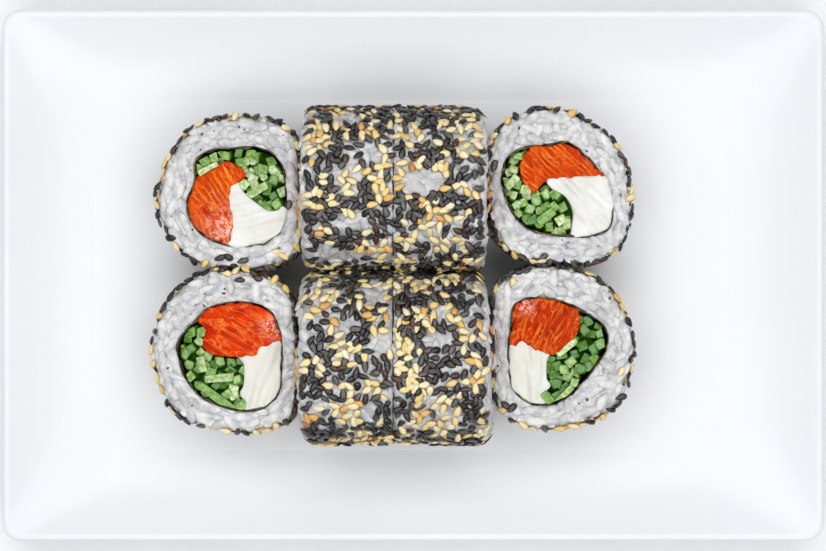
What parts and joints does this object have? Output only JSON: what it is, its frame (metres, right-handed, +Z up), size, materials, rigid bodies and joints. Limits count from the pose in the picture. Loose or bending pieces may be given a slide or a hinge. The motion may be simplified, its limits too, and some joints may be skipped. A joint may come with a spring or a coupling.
{
  "type": "philadelphia roll on a plate",
  "caption": "Inside-out sushi roll with salmon, cream cheese and cucumber, sliced and served in two rows on a rectangular white plate.",
  "frame": {"origin": "centre of the plate's footprint, at the bottom of its foot ring", "axes": "+X along the plate's length and the two rows of slices, +Y across the plate towards the back row, +Z up"},
  "size_m": [0.232, 0.15, 0.0468],
  "materials": {
    "plate": "glossy white glaze",
    "rice": "moist cooked rice with black and golden sesame seeds",
    "nori": "moist dark seaweed sheet",
    "salmon": "moist raw salmon with paler fat lines",
    "cheese": "smooth cream cheese",
    "cucumber": "wet julienned cucumber, some sticks with dark skin"
  },
  "bodies": {
    "root": {"plate": "plate", "rice_back_left": "rice", "nori_back_left": "nori", "salmon_back_left": "salmon", "cheese_back_left": "cheese", "cucumber_back_left": "cucumber", "rice_back_midleft": "rice", "nori_back_midleft": "nori", "salmon_back_midleft": "salmon", "cheese_back_midleft": "cheese", "cucumber_back_midleft": "cucumber", "rice_back_midright": "rice", "nori_back_midright": "nori", "salmon_back_midright": "salmon", "cheese_back_midright": "cheese", "cucumber_back_midright": "cucumber", "rice_back_right": "rice", "nori_back_right": "nori", "salmon_back_right": "salmon", "cheese_back_right": "cheese", "cucumber_back_right": "cucumber", "rice_front_left": "rice", "nori_front_left": "nori", "salmon_front_left": "salmon", "cheese_front_left": "cheese", "cucumber_front_left": "cucumber", "rice_front_midleft": "rice", "nori_front_midleft": "nori", "salmon_front_midleft": "salmon", "cheese_front_midleft": "cheese", "cucumber_front_midleft": "cucumber", "rice_front_midright": "rice", "nori_front_midright": "nori", "salmon_front_midright": "salmon", "cheese_front_midright": "cheese", "cucumber_front_midright": "cucumber", "rice_front_right": "rice", "nori_front_right": "nori", "salmon_front_right": "salmon", "cheese_front_right": "cheese", "cucumber_front_right": "cucumber"}
  },
  "joints": []
}
